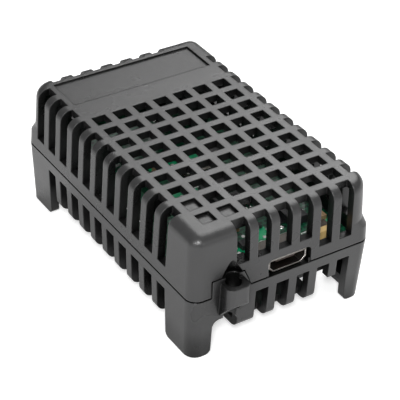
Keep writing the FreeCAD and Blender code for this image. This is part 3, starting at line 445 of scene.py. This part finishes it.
def board_copper_and_light(tree, base):
    """Traces as the joints of a brick pattern, and the broad areas on top of them."""
    place = tree.nodes.new("ShaderNodeTexCoord")
    cells = tree.nodes.new("ShaderNodeTexBrick")
    cells.offset = 0.5
    cells.inputs["Scale"].default_value = trace_scale
    cells.inputs["Mortar Size"].default_value = trace_width
    cells.inputs["Color1"].default_value = base
    cells.inputs["Color2"].default_value = (*(v * cell_darker for v in base[:3]), 1.0)
    cells.inputs["Mortar"].default_value = (*(v * trace_lighter for v in base[:3]), 1.0)
    apart = tree.nodes.new("ShaderNodeSeparateXYZ")
    wire(tree, (place.outputs["Object"], cells.inputs["Vector"]),
         (place.outputs["Object"], apart.inputs[0]))
    copper_or_lit = 0.0
    for centre, size, strong in copper_and_lit_areas:
        inside = []
        for axis, middle, width in zip("XY", centre, size):
            offset = math_node(tree, "SUBTRACT", apart.outputs[axis], middle * MM)
            away = math_node(tree, "ABSOLUTE", offset, 0.0)
            edge = math_node(tree, "SUBTRACT", width / 2 * MM, away)
            inside.append(math_node(tree, "MULTIPLY", edge, area_fade, clamp=True))
        area = math_node(tree, "MULTIPLY", math_node(tree, "MULTIPLY", *inside), strong)
        copper_or_lit = math_node(tree, "MAXIMUM", copper_or_lit, area)
    return mix_colour(tree, copper_or_lit, cells.outputs["Color"], copper_and_lit_green)


print(f"{len(copper_and_lit_areas)} copper areas")

# %% [markdown]
# ## Metals and packages
# The yellow part behind a front slot is a tantalum capacitor, and a printed band marks its
# positive end. The rest is what every board carries: tinned steel, gold on the contacts, black
# epoxy and ceramic blocks. The record names a material slot for each CAD node, so one table from
# slot to finish dresses them all.

# %% Band on the capacitor
band_from, band_fade = 0.42, 9000.0
band_colour = (0.035, 0.020, 0.012, 1.0)


def polarity_band(tree, base):
    """A dark printed band covers one half of the capacitor, and the other half stays amber."""
    low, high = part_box("tantalum_capacitor")
    place = tree.nodes.new("ShaderNodeTexCoord")
    apart = tree.nodes.new("ShaderNodeSeparateXYZ")
    wire(tree, (place.outputs["Object"], apart.inputs[0]))
    away = math_node(tree, "SUBTRACT", apart.outputs["Y"], low.y + band_from * (high.y - low.y))
    printed = math_node(tree, "MULTIPLY", away, band_fade, clamp=True)
    return mix_colour(tree, printed, base, band_colour)


print(f"band from {band_from:.0%} of the capacitor's depth")

# %% Finish for each slot
finish_of = {
    "board_green": finish("board_green", (0.004, 0.050, 0.024), 0.34, grain_scale=2500, mottle=0.25,
                          edge_radius=0.0001, edge_colour=(0.35, 0.33, 0.18), edge_amount=0.8,
                          coat=0.1, pattern=board_copper_and_light),
    # On the socket shell the near-white edge colour is partly plating wear and partly a painted
    # highlight on the rim, and the dark brown is painted shade inside the socket.
    "plated_steel": finish("plated_steel", (0.24, 0.22, 0.20), 0.36, metal=1.0, grain_scale=3000,
                           mottle=0.6, grain_depth=0.000004, edge_radius=0.00017,
                           edge_colour=(1.0, 0.97, 0.92), edge_amount=2.5,
                           painted_cavity_shade=(0.020, 0.012, 0.007), reach=0.0014, painted_rim_highlight=True),
    "insulator_black": finish("insulator_black", (0.030, 0.017, 0.010), 0.45, edge_radius=0.00005),
    "contact_gold": finish("contact_gold", (0.83, 0.60, 0.24), 0.25, metal=1.0,
                           grain_depth=0.000003, edge_radius=0.00003),
    "chip_black": finish("chip_black", (0.018, 0.018, 0.020), 0.42, grain_scale=6000,
                         grain_depth=0.000006, edge_radius=0.00006, edge_colour=(0.08, 0.08, 0.08)),
    "ceramic_brown": finish("ceramic_brown", (0.36, 0.24, 0.13), 0.4, grain_depth=0.000004,
                            edge_radius=0.00005),
    "ceramic_black": finish("ceramic_black", (0.02, 0.02, 0.022), 0.3, edge_radius=0.00005),
    "tantalum_yellow": finish("tantalum_yellow", (0.72, 0.50, 0.20), 0.45, edge_radius=0.00008,
                              edge_colour=(0.9, 0.7, 0.4), pattern=polarity_band),
    "lens_clear": finish("lens_clear", (0.75, 0.78, 0.70), 0.15, edge_radius=0.00006),
    "screw_steel": finish("screw_steel", (0.45, 0.45, 0.44), 0.34, metal=1.0,
                          grain_depth=0.000004, edge_radius=0.0001, edge_colour=(0.8, 0.8, 0.78)),
}
for entry in frame["record"]["subparts"]:
    name, slot_name = entry["node"], entry["material_slot"]
    if slot_name in finish_of and name in nodes:
        dress(finish_of[slot_name], name)
print(f"{len(finish_of)} finishes on the inner pieces")

# %% [markdown]
# ## Small pieces that repeat
# Solder, pads, ink and plated holes are many and alike. Copying objects by hand would be slow and
# hard to change, so Geometry Nodes make them: a dome or a bar is put on every point of a list,
# turned into real mesh, and given its finish. Each point carries its own size, and the result is
# kept as a plain mesh that rides on the part.

# %% Points that carry a size
def points_mesh(name, spots, rise):
    """Points with a size each. A piece rises from the board by a share of its smaller side."""
    mesh = bpy.data.meshes.new(name)
    mesh.from_pydata([spot for spot, _ in spots], [], [])
    sizes = mesh.attributes.new("size", "FLOAT_VECTOR", "POINT")
    for index, (_, size) in enumerate(spots):
        sizes.data[index].vector = (*size, min(size) * rise)
    return bpy.data.objects.new(name, mesh)


print("points can carry sizes")

# %% A shape on every point
def spread_tree(name, material, rings, around):
    """Puts a dome on every point, or a bar when it has no rings, as large as the point says."""
    tree = bpy.data.node_groups.new(name, "GeometryNodeTree")
    tree.interface.new_socket("Geometry", in_out="INPUT", socket_type="NodeSocketGeometry")
    swell = tree.interface.new_socket("Swell", in_out="INPUT", socket_type="NodeSocketFloat")
    swell.default_value = 1.0
    tree.interface.new_socket("Geometry", in_out="OUTPUT", socket_type="NodeSocketGeometry")
    start, end = tree.nodes.new("NodeGroupInput"), tree.nodes.new("NodeGroupOutput")
    if rings:
        shape = tree.nodes.new("GeometryNodeMeshUVSphere")
        shape.inputs["Segments"].default_value = around
        shape.inputs["Rings"].default_value = rings * 2
        shape.inputs["Radius"].default_value = 0.5
    else:
        shape = tree.nodes.new("GeometryNodeMeshCube")
    smooth = tree.nodes.new("GeometryNodeSetShadeSmooth")
    smooth.inputs["Shade Smooth"].default_value = bool(rings)
    size = tree.nodes.new("GeometryNodeInputNamedAttribute")
    size.data_type = "FLOAT_VECTOR"
    size.inputs["Name"].default_value = "size"
    grow = tree.nodes.new("ShaderNodeVectorMath")
    grow.operation = "SCALE"
    put = tree.nodes.new("GeometryNodeInstanceOnPoints")
    real = tree.nodes.new("GeometryNodeRealizeInstances")
    paint = tree.nodes.new("GeometryNodeSetMaterial")
    paint.inputs["Material"].default_value = material
    wire(tree, (start.outputs["Geometry"], put.inputs["Points"]),
         (shape.outputs["Mesh"], smooth.inputs["Geometry"]),
         (smooth.outputs[0], put.inputs["Instance"]), (size.outputs["Attribute"], grow.inputs[0]),
         (start.outputs["Swell"], grow.inputs["Scale"]), (grow.outputs[0], put.inputs["Scale"]),
         (put.outputs[0], real.inputs[0]),
         (real.outputs[0], paint.inputs["Geometry"]), (paint.outputs[0], end.inputs[0]))
    return tree, swell.identifier


print("domes and bars can be spread")

# %% Run and keep the mesh
def spread(name, spots, rise, material, rings=0, around=0, swell=1.0):
    """Runs the tree on the points and keeps the result as a mesh piece of the part."""
    tree, swell_key = spread_tree(f"{name}_tree", material, rings, around)
    source = points_mesh(f"{name}_points", spots, rise)
    scene.collection.objects.link(source)
    modifier = source.modifiers.new("shape", "NODES")
    modifier.node_group = tree
    modifier[swell_key] = swell
    bpy.context.view_layer.update()
    shape = source.evaluated_get(bpy.context.evaluated_depsgraph_get())
    mesh = bpy.data.meshes.new_from_object(shape)
    bpy.data.objects.remove(source)
    mesh.name = name
    piece = bpy.data.objects.new(name, mesh)
    scene.collection.objects.link(piece)
    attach(piece, "root")
    print(f"{name}: {len(spots)} pieces, {len(mesh.polygons)} faces")


print("spreading tool ready")

# %% [markdown]
# ## Solder pools
# Each lead of a package stands in a small bright pool of tin that shrank to a low dome as it
# froze. A list of places typed by hand would be wrong as soon as a package moves, so the pools
# follow the boxes of the CAD packages. A row names its package, the axis it runs along (0 for X,
# 1 for Y), the leads on each side, and then the step and the length and width of a pool in
# millimetres.

# %% Solder and the rows of leads
solder_tin = finish("solder_tin", (0.78, 0.78, 0.75), 0.2, metal=1.0, grain_scale=1500, mottle=0.4,
                    grain_depth=0.00002, edge_radius=0.00004)
_, board_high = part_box("circuit_board")
board_top = board_high.z
two_ended = ("tantalum_capacitor", "ferrite_bead", "status_led", "capacitor_1", "capacitor_2",
             "capacitor_3", "capacitor_4", "resistor_1", "resistor_2", "resistor_3", "resistor_4")
lead_rows = [("microcontroller", 0, 8, 0.8, 0.6, 0.5), ("microcontroller", 1, 8, 0.8, 0.6, 0.5),
             ("temperature_sensor", 0, 3, 0.95, 0.6, 0.5),
             ("surge_protector", 0, 3, 0.95, 0.6, 0.5), ("voltage_regulator", 1, 3, 2.3, 1.2, 1.1),
             *((name, 1, 1, 1.0, 0.9, 1.3) for name in two_ended),
             ("usb_socket_shell", 1, 2, 2.9, 1.0, 1.1)]
print(f"{len(lead_rows)} rows of leads")

# %% Solder pools
pools = []
for name, axis, count, step, length, width in lead_rows:
    low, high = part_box(name)
    middle = (low + high) / 2
    size = (width, length) if axis == 0 else (length, width)
    for side in (low[1 - axis], high[1 - axis]):
        for index in range(count):
            spot = [0.0, 0.0, board_top]
            spot[axis] = middle[axis] + (index - (count - 1) / 2) * step * MM
            spot[1 - axis] = side
            pools.append((tuple(spot), tuple(v * MM for v in size)))
spread("solder_pools", pools, 0.5, solder_tin, rings=4, around=12)

# %% [markdown]
# ## Ink and bare pads
# White ink is printed on the board round the larger packages, and small round pads are left bare
# for test needles. Both catch the eye through the grid as white specks, so they share one
# finish: on the outlines it is the ink's own white, and on the pads it is a painted highlight,
# as their bare metal would mirror only the dark inside of the case. They could be painted in
# the board's colour, but as thin discs and bars they keep a crisp edge and catch light of their
# own. The pads lie about where the photograph shows specks, clear of the packages.

# %% Test pads
# This white is the ink's own colour on the outlines and a painted highlight on the pads.
ink_and_pad_glint = finish("ink_and_pad_glint", (0.94, 0.94, 0.92), 0.5, mottle=0.2, edge_radius=0.00003)
pad_width = 0.8 * MM
pad_places = [(-4.6, 7.6), (0.5, 7.4), (-7.8, 6.7), (-3.0, -1.7), (0.3, -0.4), (-0.4, -16.6),
              (-3.4, -18.7), (-4.4, -21.5), (4.3, -16.9), (2.7, -18.5), (-0.5, -21.5),
              (0.6, -21.5), (13.1, -21.0), (-3.6, -20.1), (1.4, -19.4), (14.2, -22.6),
              (-9.6, 9.2), (-9.6, 7.2), (7.4, 7.3)]
pads = [((x * MM, y * MM, board_top), (pad_width, pad_width)) for x, y in pad_places]
spread("test_pads", pads, 0.15, ink_and_pad_glint, rings=2, around=10)

# %% Printed outlines
line_width = 0.16 * MM
margin_of = {"microcontroller": 0.55 * MM, "crystal": 0.6 * MM, "tantalum_capacitor": 0.6 * MM}
bars = []
for package, margin in margin_of.items():
    low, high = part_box(package)
    left, front = low.x - margin, low.y - margin
    wide, deep = high.x - low.x + 2 * margin, high.y - low.y + 2 * margin
    bars += [((left + wide / 2, front, board_top), (wide, line_width)),
             ((left + wide / 2, front + deep, board_top), (wide, line_width)),
             ((left, front + deep / 2, board_top), (line_width, deep)),
             ((left + wide, front + deep / 2, board_top), (line_width, deep))]
spread("printed_outlines", bars, 0.25, ink_and_pad_glint)

# %% [markdown]
# ## Stitched edge
# A row of tinned through-holes ties the copper of both faces together along each long edge, as is
# usual on such boards. It is seen through the side slots. From there a hole looks like a bright
# bead, so a low dome stands for it. The row leaves out the places where a screw post stands.

# %% Stitched edge
edge_x, step, half_row = 14.9 * MM, 2.05 * MM, 23.5 * MM
hole_width, post_clear = 0.5 * MM, 3.1 * MM
low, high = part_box("case_screw_front")
post_y = abs((low.y + high.y) / 2)
stitches = []
for index in range(-int(half_row / step), int(half_row / step) + 1):
    y = index * step
    for side in (-1, 1):
        if abs(abs(y) - post_y) > post_clear:
            stitches.append(((side * edge_x, y, board_top), (hole_width, hole_width)))
spread("stitched_edge", stitches, 0.3, solder_tin, rings=2, around=10)

# %% [markdown]
# ## Sizes
# The box of the dressed model is measured here and printed.

# %% Measure and finish
low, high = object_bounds()
print(f"dressed box {[round(v / MM, 2) for v in high - low]} mm")
